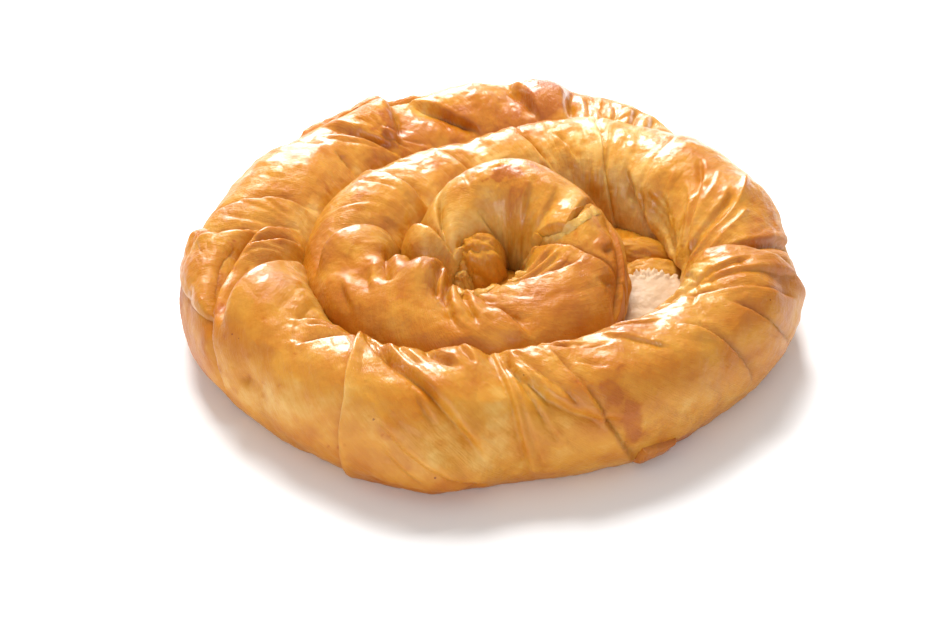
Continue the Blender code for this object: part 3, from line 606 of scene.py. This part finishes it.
def close_tube(piece):
    """Joins a grid's first and last columns, fills its two ends and turns its faces outwards."""
    clear_selection()
    piece.select_set(True)
    bpy.context.view_layer.objects.active = piece
    bpy.ops.object.mode_set(mode="EDIT")
    bpy.ops.mesh.select_mode(type="VERT")
    bpy.ops.mesh.select_all(action="SELECT")
    bpy.ops.mesh.remove_doubles(threshold=DOUBLES)
    bpy.ops.mesh.select_all(action="DESELECT")
    bpy.ops.mesh.select_non_manifold(extend=False, use_wire=False, use_multi_face=False,
                                     use_non_contiguous=False, use_verts=False)
    bpy.ops.mesh.fill_holes(sides=0)
    bpy.ops.mesh.select_all(action="SELECT")
    bpy.ops.mesh.normals_make_consistent(inside=False)
    bpy.ops.object.mode_set(mode="OBJECT")
    bpy.ops.object.shade_smooth()
    return piece


def ball(rows, columns):
    """A grid round a ball: the angles up and round it, and the directions from its middle."""
    rise, turn = np.meshgrid(np.radians(np.linspace(-89.5, 89.5, rows)),
                             np.radians(np.linspace(0, 360, columns)), indexing="ij")
    way = np.stack([np.cos(rise) * np.cos(turn), np.cos(rise) * np.sin(turn), np.sin(rise)], -1)
    return rise, turn, way


def dress(piece, material, node):
    """Gives a finished piece its material and ties it to the frame."""
    piece.data.materials.clear()
    piece.data.materials.append(material)
    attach(piece, "root")
    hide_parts(node)


def dress_pastry(pieces, scene):
    """Dresses pieces of pastry."""
    for piece in pieces:
        dress(piece, phyllo_material(scene.pie_crust), "pastry")


# ------------------------------------------------------------------ materials
def new_material(name):
    """A material, its node tree and its shader."""
    look = bpy.data.materials.new(name)
    look.use_nodes = True
    tree = look.node_tree
    return look, tree, tree.nodes["Principled BSDF"]


def set_sockets(node, values):
    """Sets a node's own inputs."""
    for label, value in values.items():
        node.inputs[label].default_value = value


def add_node(tree, kind, settings=None, **inputs):
    """A node with its settings and inputs; an input is a value or another node's output, and goes by
    its name or, as i0, i1 and so on, by its number."""
    node = tree.nodes.new(kind)
    for key, value in (settings or {}).items():
        setattr(node, key, value)
    for key, value in inputs.items():
        socket = node.inputs[int(key[1:])] if key[0] == "i" and key[1:].isdigit() else node.inputs[key]
        if isinstance(value, bpy.types.NodeSocket):
            tree.links.new(value, socket)
        else:
            socket.default_value = value
    return node


def attribute(tree, name):
    """A value kept on the mesh."""
    return add_node(tree, "ShaderNodeAttribute", {"attribute_name": name}).outputs["Fac"]


def maths(tree, operation, a, b=0.0, c=0.0, clamp=False):
    """A Math node's result."""
    return add_node(tree, "ShaderNodeMath", {"operation": operation, "use_clamp": clamp},
                    i0=a, i1=b, i2=c).outputs[0]


def weighted(tree, total, parts):
    """The total plus each output times its weight."""
    for output, weight in parts:
        total = maths(tree, "MULTIPLY_ADD", output, weight, total)
    return total


def noise(tree, vector, scale, detail=4.0, roughness=0.55):
    """A Noise texture's value."""
    return add_node(tree, "ShaderNodeTexNoise", Vector=vector, Scale=scale, Detail=detail,
                    Roughness=roughness).outputs["Fac"]


def colour_ramp(tree, value, *stops):
    """The colour of a ramp through (place, colour) stops."""
    node = add_node(tree, "ShaderNodeValToRGB", Fac=value)
    elements = node.color_ramp.elements
    elements[0].position, elements[1].position = stops[0][0], stops[-1][0]
    for spot, _ in stops[1:-1]:
        elements.new(spot)
    for element, (_, colour) in zip(elements, stops):
        element.color = (*colour, 1.0)
    return node.outputs["Color"]


def crust_group():
    """Node group: the mottling, specks, fine relief and uneven glaze of baked phyllo."""
    group = bpy.data.node_groups.new("crust_mottle", "ShaderNodeTree")
    for label, kind in (("Place", "Vector"), ("Wrap", "Vector"), ("Bake", "Float")):
        group.interface.new_socket(label, in_out="INPUT", socket_type="NodeSocket" + kind)
    for label in ("Bake", "Specks", "Height", "Glaze"):
        group.interface.new_socket(label, in_out="OUTPUT", socket_type="NodeSocketFloat")
    inner, outer = add_node(group, "NodeGroupInput"), add_node(group, "NodeGroupOutput")
    place, wrap, bake = (inner.outputs[label] for label in ("Place", "Wrap", "Bake"))
    blotch = noise(group, place, 140.0, 5.0, 0.6)
    small = noise(group, place, 620.0, 4.0, 0.6)
    stretched = add_node(group, "ShaderNodeMapping", Vector=wrap, Scale=(1.1, 0.09, 1.0)).outputs[0]
    streak = noise(group, stretched, 1.0, 4.0, 0.6)
    thread = noise(group, stretched, 3.2, 2.0, 0.5)
    pits = noise(group, place, 1300.0, 2.0, 0.5)
    bubbles = add_node(group, "ShaderNodeTexVoronoi", {"feature": "SMOOTH_F1"}, Vector=place, Scale=480.0,
                       Smoothness=0.4).outputs["Distance"]
    cells = add_node(group, "ShaderNodeTexVoronoi", Vector=place, Scale=330.0).outputs["Distance"]
    rare = noise(group, place, 90.0, 2.0)
    patchy = noise(group, place, 70.0, 3.0, 0.5)
    shift = weighted(group, -0.36, ((blotch, 0.34), (small, 0.16), (streak, 0.22)))
    results = {
        "Bake": maths(group, "ADD", bake, shift, clamp=True),
        "Specks": maths(group, "MULTIPLY", maths(group, "LESS_THAN", cells, 0.13),
                        maths(group, "GREATER_THAN", rare, 0.7)),
        "Height": weighted(group, 0.0, ((thread, 0.6), (pits, 0.35), (small, 0.8), (bubbles, -0.5))),
        "Glaze": add_node(group, "ShaderNodeMapRange", i0=patchy, i1=0.32, i2=0.55, i3=0.25,
                          i4=1.0).outputs[0],
    }
    for label, output in results.items():
        group.links.new(output, outer.inputs[label])
    return group


def phyllo_material(colours):
    """Baked phyllo under a glaze, made once for all its pieces."""
    name = "phyllo_crust"
    if name in bpy.data.materials:
        return bpy.data.materials[name]
    look, tree, shader = new_material(name)
    coords = add_node(tree, "ShaderNodeTexCoord")
    mottle = add_node(tree, "ShaderNodeGroup", {"node_tree": crust_group()}, Bake=attribute(tree, "bake"),
                      Place=coords.outputs["Object"], Wrap=coords.outputs["UV"]).outputs
    # colour by how far the crust is baked; the attribute also carries painted shade in creases, towards the
    # foot, under sheet edges and on some patches, and painted light along raised edges and on one swell
    baked = colour_ramp(tree, mottle["Bake"], (0.06, colours.cream), (0.36, colours.golden),
                        (0.66, colours.orange), (0.95, colours.brown))
    specked = add_node(tree, "ShaderNodeMix", {"data_type": "RGBA", "blend_type": "MULTIPLY"}, A=baked,
                       B=(0.30, 0.10, 0.03, 1.0), Factor=maths(tree, "MULTIPLY", mottle["Specks"], 0.75))
    tree.links.new(specked.outputs["Result"], shader.inputs["Base Color"])
    bump = add_node(tree, "ShaderNodeBump", Strength=0.5, Distance=0.0007, Height=mottle["Height"])
    tree.links.new(bump.outputs["Normal"], shader.inputs["Normal"])
    glaze = maths(tree, "MULTIPLY", mottle["Glaze"], attribute(tree, "glaze"))
    tree.links.new(maths(tree, "MULTIPLY", glaze, 0.8), shader.inputs["Coat Weight"])
    tree.links.new(maths(tree, "MULTIPLY_ADD", glaze, -0.16, 0.46), shader.inputs["Roughness"])
    set_sockets(shader, {
        "Specular IOR Level": 0.4, "Coat Roughness": colours.gloss, "Coat IOR": 1.42,
        "Subsurface Weight": 0.25, "Subsurface Radius": (1.0, 0.4, 0.1), "Subsurface Scale": 0.003,
    })
    return look


def cheese_material(sizes):
    """Soft white cheese, damp and fine-grained, with painted shade that turns it cream-brown towards its
    foot.
    """
    look, tree, shader = new_material("cheese_curd")
    place = add_node(tree, "ShaderNodeTexCoord").outputs["Object"]
    pale = maths(tree, "ADD", noise(tree, place, 160.0, 3.0), attribute(tree, "curd"))
    # the darker stop is the colour of the painted shade
    colour = colour_ramp(tree, pale, (0.35, (0.52, 0.30, 0.14)), (0.95, sizes.colour))
    tree.links.new(colour, shader.inputs["Base Color"])
    bump = add_node(tree, "ShaderNodeBump", Strength=0.4, Distance=0.0005,
                    Height=noise(tree, place, 900.0, 4.0))
    tree.links.new(bump.outputs["Normal"], shader.inputs["Normal"])
    set_sockets(shader, {
        "Roughness": 0.5, "Subsurface Weight": 0.35, "Subsurface Radius": (1.0, 0.8, 0.55),
        "Subsurface Scale": 0.0025,
    })
    return look


# ------------------------------------------------------------------ pieces
def section_angles(count):
    """Angles round the section, closer over the top than under the foot, ends equal."""
    q = np.linspace(0, 1, count + 1)
    return -90 + 360 * (q + 0.075 * np.sin(2 * math.pi * q))


# Every line at which the rope is parted: its tail, the sheets' edges, and the coil's end
TAIL, END = (((station.angle, -90), (station.angle, 270)) for station in (COURSE[0], COURSE[-1]))
PARTINGS = (TAIL, *SHEET_EDGES, END)


def parting_distances(index, phi):
    """Distance along the rope of a parting, at angles round the section."""
    angles, rounds = np.array(PARTINGS[index], float).T
    return along(np.interp(phi, rounds, angles))


def rope_piece(index, sizes):
    """One stretch of rope between two partings; its end runs on under the next stretch."""
    ends_coil = index == len(SHEET_EDGES)
    phi = section_angles(sizes.facets)
    first = parting_distances(index, phi)
    last = parting_distances(index + 1, phi) + (0.0 if ends_coil else UNDERLAP)
    rows = int(np.max(last - first) / sizes.grain) + 1
    q = np.linspace(0, 1, rows)[:, None]
    s = first + q * (last - first)
    phi = np.repeat(phi[None], rows, axis=0)
    v = np.radians(phi) * GIRTH_RADIUS
    height, bake = rope_relief(s, v, sizes)
    past, before = s - first, last - s
    girth = 1.0
    if index:
        height += EDGE_LIFTS[index - 1] * np.exp(-past / 7.0) - 1.6 * np.exp(-(past / 0.4)**2)
        # painted light: paler along the sheet's raised edge
        bake -= 0.16 * np.exp(-past / 1.4)
    if ends_coil:
        rounding = np.clip(1 - before / COIL_END, 0, 1)
        girth = np.sqrt(np.clip(1 - rounding**2, 0.003, 1))
    else:
        height -= 0.9 * ease(1.35 - before / UNDERLAP)
        # painted shadow: darker where the next sheet's edge lies over this one
        bake += 0.12 * ease(1 - np.abs(before - UNDERLAP) / 2.5)
    points = wrap_surface(np.interp(s, DISTANCES, ANGLES), phi, height, girth=girth)
    glaze = 0.12 + 0.88 * ease((v - 10) / 12) * ease((52 - v) / 12)
    maps = (("bake", bake), ("glaze", glaze))
    return close_tube(shaped_grid(SHEET_NAMES[index], points, maps, twist_places(s, v)[:2]))


class PIE_OT_rope(bpy.types.Operator):
    """Add the twisted rope of phyllo, parted where its sheets end"""

    bl_idname = "pie.rope"
    bl_label = "Add Rope"

    def execute(self, context):
        scene = context.scene
        dress_pastry([rope_piece(index, scene.pie_rope) for index in range(len(SHEET_NAMES))], scene)
        return {"FINISHED"}


# Points along or up a piece, and round it
STRAND_GRID = (120, 96)
KNOB_GRID = (90, 145)
CHEESE_GRID = (150, 241)
STRAND_GIRTH = 12.0     # turns an angle round the strand's section into a length (mm)


def small_roll(name, stations, sizes, seed, baked):
    """A short length of rope with its own pleats."""
    angles = np.linspace(stations[0].angle, stations[-1].angle, STRAND_GRID[0])
    angles, phi = np.meshgrid(angles, section_angles(STRAND_GRID[1]), indexing="ij")
    radius = np.interp(angles, *np.array([(p.angle, OUTER_RADIUS + p.radius) for p in stations]).T)
    u, v = np.radians(angles) * radius, np.radians(phi) * STRAND_GIRTH
    slant = u + 0.4 * v
    height = 0.7 * np.abs(cloud(slant / 5, v / 16, seed))
    height += 0.5 * sizes.wrinkle * cloud(slant / 1.8, v / 12, seed + 3)
    height -= 3.0 * (1 - ease(np.minimum(angles - stations[0].angle, stations[-1].angle - angles) / 14.0))
    maps = (("bake", baked + 0.16 * cloud(u / 6, v / 6, seed + 7)), ("glaze", np.full(u.shape, 0.5)))
    return close_tube(shaped_grid(name, wrap_surface(angles, phi, height, stations), maps, (slant, v)))


def knob(shape, seed):
    """A fluted lump of pastry."""
    rise, turn, way = ball(*KNOB_GRID)
    x, y, z = np.moveaxis(way, -1, 0)
    swirl = np.abs(cloud(1.7 * x + 0.8 * z, 1.7 * y + 0.6 * z, seed))
    swirl += 0.1 * cloud(6 * x, 6 * y + z, seed + 3)
    points = np.array(shape.centre) + way * (np.array(shape.radii) + shape.flutes * swirl[..., None])
    points[..., 2] = np.maximum(points[..., 2], 0.0)
    maps = (("bake", shape.baked + 0.08 * swirl), ("glaze", np.full(swirl.shape, 0.6)))
    return close_tube(shaped_grid(shape.name, points, maps, (turn * 12, rise * 14)))


class PIE_OT_filler(bpy.types.Operator):
    """Add the strand pressed into the gap, its lobes, and the tip and heart in the pit of the coil"""

    bl_idname = "pie.filler"
    bl_label = "Add Strand and Knobs"

    def execute(self, context):
        scene = context.scene
        knobs = [knob(shape, 91 + 5 * i) for i, shape in enumerate(KNOBS)]
        dress_pastry([small_roll("strand", STRAND, scene.pie_rope, 61, 0.5), *knobs], scene)
        return {"FINISHED"}


# A flap lies over the rope: its four corners, how far each stands off (mm), how ragged it is, and
# how dark
Flap = namedtuple("Flap", "name corners lifts ragged baked")
FLAPS = (
    Flap("flap_left", ((177, 22), (168, 32), (178, 80), (199, 38)), (0.4, 0.8, 1.7, 1.3), 0.3, 0.58),
    Flap("flake_front", ((303, -42), (313, -40), (313, -22), (304, -20)), (0.8, 1.0, 2.2, 1.8), 0.3, 0.8),
)
FLAP_GRID = 90          # points along each side of a flap
# A rim is a sheet's free edge: the places it passes, its width, how far it stands up (mm), how ragged
# it is, and how dark
Rim = namedtuple("Rim", "name places width lift ragged baked")
RIMS = (
    Rim("rim_curl", ((716, 106), (730, 88), (739, 68), (738, 48), (728, 34), (714, 24), (706, 14), (692, 8)),
        1.0, 0.55, 0.6, 0.5),
    Rim("rim_band", ((740, 150), (716, 126), (714, 104), (720, 86), (730, 66), (738, 50)),
        2.4, 0.7, 0.4, 0.2),
    Rim("rim_pit", ((610, 112), (628, 122), (646, 126), (664, 128), (682, 130)), 1.6, 1.1, 0.7, 0.3),
    Rim("rim_back", ((134, 52), (124, 58), (114, 60), (104, 64)), 1.4, 1.3, 0.5, 0.7),
)
RIM_GRID = 14           # points across a rim
RIM_STEP = 0.35         # spacing of its points along it (mm)
SHARP = math.radians(50)    # where a thin sheet turns by more than this, its edge stays sharp


def thin_sheet(shape, s, v, lift, edge, sizes):
    """A thin sheet of phyllo over the rope; lift is its height above it, edge its distance to a free
    edge."""
    height = rope_relief(s, v, sizes)[0] + lift
    height += 0.9 * np.abs(cloud(s / 12, v / 4.5, 107)) + 0.15 * cloud(s / 3, v / 1.6, 109)
    bake = shape.baked + 0.14 * cloud(s / 5, v / 5, 113) + 0.12 * np.exp(-edge / 0.02)
    points = wrap_surface(np.interp(s, DISTANCES, ANGLES), np.degrees(v / GIRTH_RADIUS), height)
    maps = (("bake", np.clip(bake, 0, 1)), ("glaze", np.full(s.shape, 0.5)))
    piece = shaped_grid(shape.name, points, maps, (s, v))
    bpy.ops.object.modifier_add(type="SOLIDIFY")
    shell = piece.modifiers[-1]
    shell.thickness, shell.offset = sizes.sheet * MM, -1.0
    bpy.ops.object.modifier_apply(modifier=shell.name)
    bpy.ops.object.shade_smooth_by_angle(angle=SHARP)
    return piece


def flap(shape, sizes):
    """A loose flap between four corners."""
    q, p = np.meshgrid(np.linspace(0, 1, FLAP_GRID), np.linspace(0, 1, FLAP_GRID), indexing="ij")
    corners = [surface_place(corner) for corner in shape.corners]
    shares = ((1 - p) * (1 - q), p * (1 - q), p * q, (1 - p) * q)
    s, v = (sum(share * corner[i] for share, corner in zip(shares, corners)) for i in (0, 1))
    edge = np.minimum(np.minimum(p, 1 - p), np.minimum(q, 1 - q))
    fray = np.exp(-edge / 0.05) * shape.ragged
    s, v = s + fray * cloud(p * 6, q * 6, 101), v + fray * cloud(p * 6 + 20, q * 6, 103)
    lift = sum(share * lift for share, lift in zip(shares, shape.lifts)) + 0.3
    lift = lift * (1 - np.exp(-edge / 0.08)) - 0.5 * np.exp(-edge / 0.04)
    return thin_sheet(shape, s, v, lift, edge, sizes)


def rim(shape, sizes):
    """The raised free edge of a sheet along a line of places."""
    line = np.array([surface_place(place) for place in shape.places])
    steps = np.concatenate([[0.0], np.cumsum(np.hypot(*np.diff(line, axis=0).T))])
    q = np.linspace(0, steps[-1], int(steps[-1] / RIM_STEP))
    line = np.stack([hermite(q, steps, line[:, i]) for i in (0, 1)], axis=-1)
    run = np.gradient(line, axis=0)
    run /= np.hypot(*run.T)[:, None]
    t = np.linspace(0, 1, RIM_GRID)
    ends = ease(np.minimum(q, steps[-1] - q) / 4.0)
    reach = shape.width * (0.4 + 0.6 * ends) * (1 + 0.25 * shape.ragged * cloud(q / 4, q / 9, 127))
    s = line[:, :1] - run[:, 1:] * reach[:, None] * t
    v = line[:, 1:] + run[:, :1] * reach[:, None] * t
    tall = shape.lift * ends * (1 + 0.5 * shape.ragged * cloud(q / 3.4, q / 7, 131))
    lift = -0.8 + (tall[:, None] + 0.3) * t**0.8
    return thin_sheet(shape, s, v, lift, (1 - t) + 0 * s, sizes)


class PIE_OT_sheets(bpy.types.Operator):
    """Add the loose sheets of phyllo: the flap at the left, curled edges and a flake"""

    bl_idname = "pie.sheets"
    bl_label = "Add Loose Sheets"

    def execute(self, context):
        scene = context.scene
        flaps = [flap(shape, scene.pie_rope) for shape in FLAPS]
        dress_pastry([*flaps, *(rim(shape, scene.pie_rope) for shape in RIMS)], scene)
        return {"FINISHED"}


class PIE_OT_cheese(bpy.types.Operator):
    """Add the cheese that has burst out at the right"""

    bl_idname = "pie.cheese"
    bl_label = "Add Cheese"

    def execute(self, context):
        sizes = context.scene.pie_cheese
        way = ball(*CHEESE_GRID)[2]
        points = np.array(sizes.centre) + way * np.array(sizes.radii)
        x, y, z = np.moveaxis(points, -1, 0)
        back = y - sizes.centre[1]
        limit = 18.6 + 0.22 * back      # the flattened top, which rises towards the back
        points[..., 2] = z = np.where(z > limit, limit + 0.25 * (z - limit), z)
        top = ease((back - 7) / 4) * ease((z - 15) / 3)
        crumbs = 1.9 * np.abs(cloud(x / 1.9, (y + 0.7 * z) / 1.9, 81))
        crumbs += 0.7 * cloud(x / 0.9, (y + z) / 0.9, 83)
        soft = 0.5 * cloud(x / 6, (y + z) / 6, 87)
        points += way * (sizes.crumb * crumbs * top + soft)[..., None]
        points[..., 2] = np.maximum(points[..., 2], 0.0)
        # painted shade: darker towards the foot of the lump; the crumbly top is a little paler
        curd = 0.05 + 0.3 * ease((z - 8) / 12) + 0.1 * top
        piece = close_tube(shaped_grid("cheese_lump", points, (("curd", curd),)))
        dress(piece, cheese_material(sizes), "cheese")
        return {"FINISHED"}


# ------------------------------------------------------------------ stage
# A softbox: its place, width and height (m), its share of the key light's power, and whether it
# lights surfaces (shades) and shows as a highlight on them (shines)
Light = namedtuple("Light", "name place width height share shades shines")
LIGHTS = (
    Light("key", (-0.13, 0.62, 0.92), 0.55, 0.55, 0.96, True, False),
    Light("fill", (-0.35, -1.6, 0.45), 1.0, 1.0, 0.55, True, True),
    Light("glow", (-0.18, 1.1, 0.56), 0.42, 0.8, 0.62, False, True),
)
FLOOR_SIZE = 8.0            # m
AIM_HEIGHT = 0.014          # height of the place that the lights and the camera look at (m)
LENS, SENSOR = 139.5, 36.0  # mm
SHIFT = (-0.0307, -0.0108)


class PIE_OT_stage(bpy.types.Operator):
    """Add the floor, the lights and the camera"""

    bl_idname = "pie.stage"
    bl_label = "Add Stage"

    def execute(self, context):
        looks = context.scene.pie_stage
        clear_selection()
        bpy.ops.mesh.primitive_plane_add(size=FLOOR_SIZE, location=(0, 0, 0))
        floor = context.object
        floor.name = "floor"
        look, _, shader = new_material("floor_paper")
        set_sockets(shader, {"Base Color": (*looks.floor, 1.0), "Roughness": 0.9,
                             "Specular IOR Level": 0.1})
        floor.data.materials.append(look)
        middle = Vector((COIL_MIDDLE[0] * MM, COIL_MIDDLE[1] * MM, AIM_HEIGHT))
        for light in LIGHTS:
            bpy.ops.object.light_add(type="AREA", location=light.place)
            lamp = context.object
            lamp.name = f"{light.name}_light"
            lamp.data.shape, lamp.data.energy = "RECTANGLE", light.share * looks.key
            lamp.data.size, lamp.data.size_y = light.width, light.height
            lamp.visible_diffuse, lamp.visible_glossy = light.shades, light.shines
            lamp.rotation_euler = (middle - Vector(light.place)).to_track_quat("-Z", "Y").to_euler()
        world = bpy.data.worlds.new("even_light")
        world.use_nodes = True
        set_sockets(world.node_tree.nodes["Background"],
                    {"Color": (1.0, 1.0, 1.0, 1.0), "Strength": looks.world})
        context.scene.world = world
        tilt = looks.elevation
        place = middle + looks.distance * Vector((0, -math.cos(tilt), math.sin(tilt)))
        bpy.ops.object.camera_add(location=place, rotation=(math.pi / 2 - tilt, 0, 0))
        camera = context.object
        camera.name = "camera"
        camera.data.sensor_width, camera.data.lens = SENSOR, LENS
        camera.data.shift_x, camera.data.shift_y = SHIFT
        camera.data.clip_end = 20.0
        context.scene.camera = camera
        context.scene.view_settings.view_transform = "Standard"
        return {"FINISHED"}


class PIE_PT_panel(bpy.types.Panel):
    """Steps and sizes of the pie"""

    bl_label = "Cheese Pie"
    bl_idname = "PIE_PT_panel"
    bl_space_type = "VIEW_3D"
    bl_region_type = "UI"
    bl_category = "Cheese Pie"

    def draw(self, context):
        for step in STEPS:
            self.layout.operator(step.bl_idname)
        for name, _ in GROUPS:
            group = getattr(context.scene, name)
            box = self.layout.box()
            for label in group.__annotations__:
                box.prop(group, label)


STEPS = (PIE_OT_rope, PIE_OT_filler, PIE_OT_sheets, PIE_OT_cheese, PIE_OT_stage)
GROUPS = (("pie_rope", RopeSizes), ("pie_crust", CrustColours), ("pie_cheese", CheeseSizes),
          ("pie_stage", StageLooks))


def register():
    for name, group in GROUPS:
        bpy.utils.register_class(group)
        setattr(bpy.types.Scene, name, PointerProperty(type=group))
    for step in STEPS:
        bpy.utils.register_class(step)
    bpy.utils.register_class(PIE_PT_panel)


def unregister():
    bpy.utils.unregister_class(PIE_PT_panel)
    for step in reversed(STEPS):
        bpy.utils.unregister_class(step)
    for name, group in reversed(GROUPS):
        delattr(bpy.types.Scene, name)
        bpy.utils.unregister_class(group)


def main():
    register()
    bpy.ops.pie.rope()
    bpy.ops.pie.filler()
    bpy.ops.pie.sheets()
    bpy.ops.pie.cheese()
    bpy.ops.pie.stage()
    bpy.context.view_layer.update()


if __name__ == "__main__":
    main()
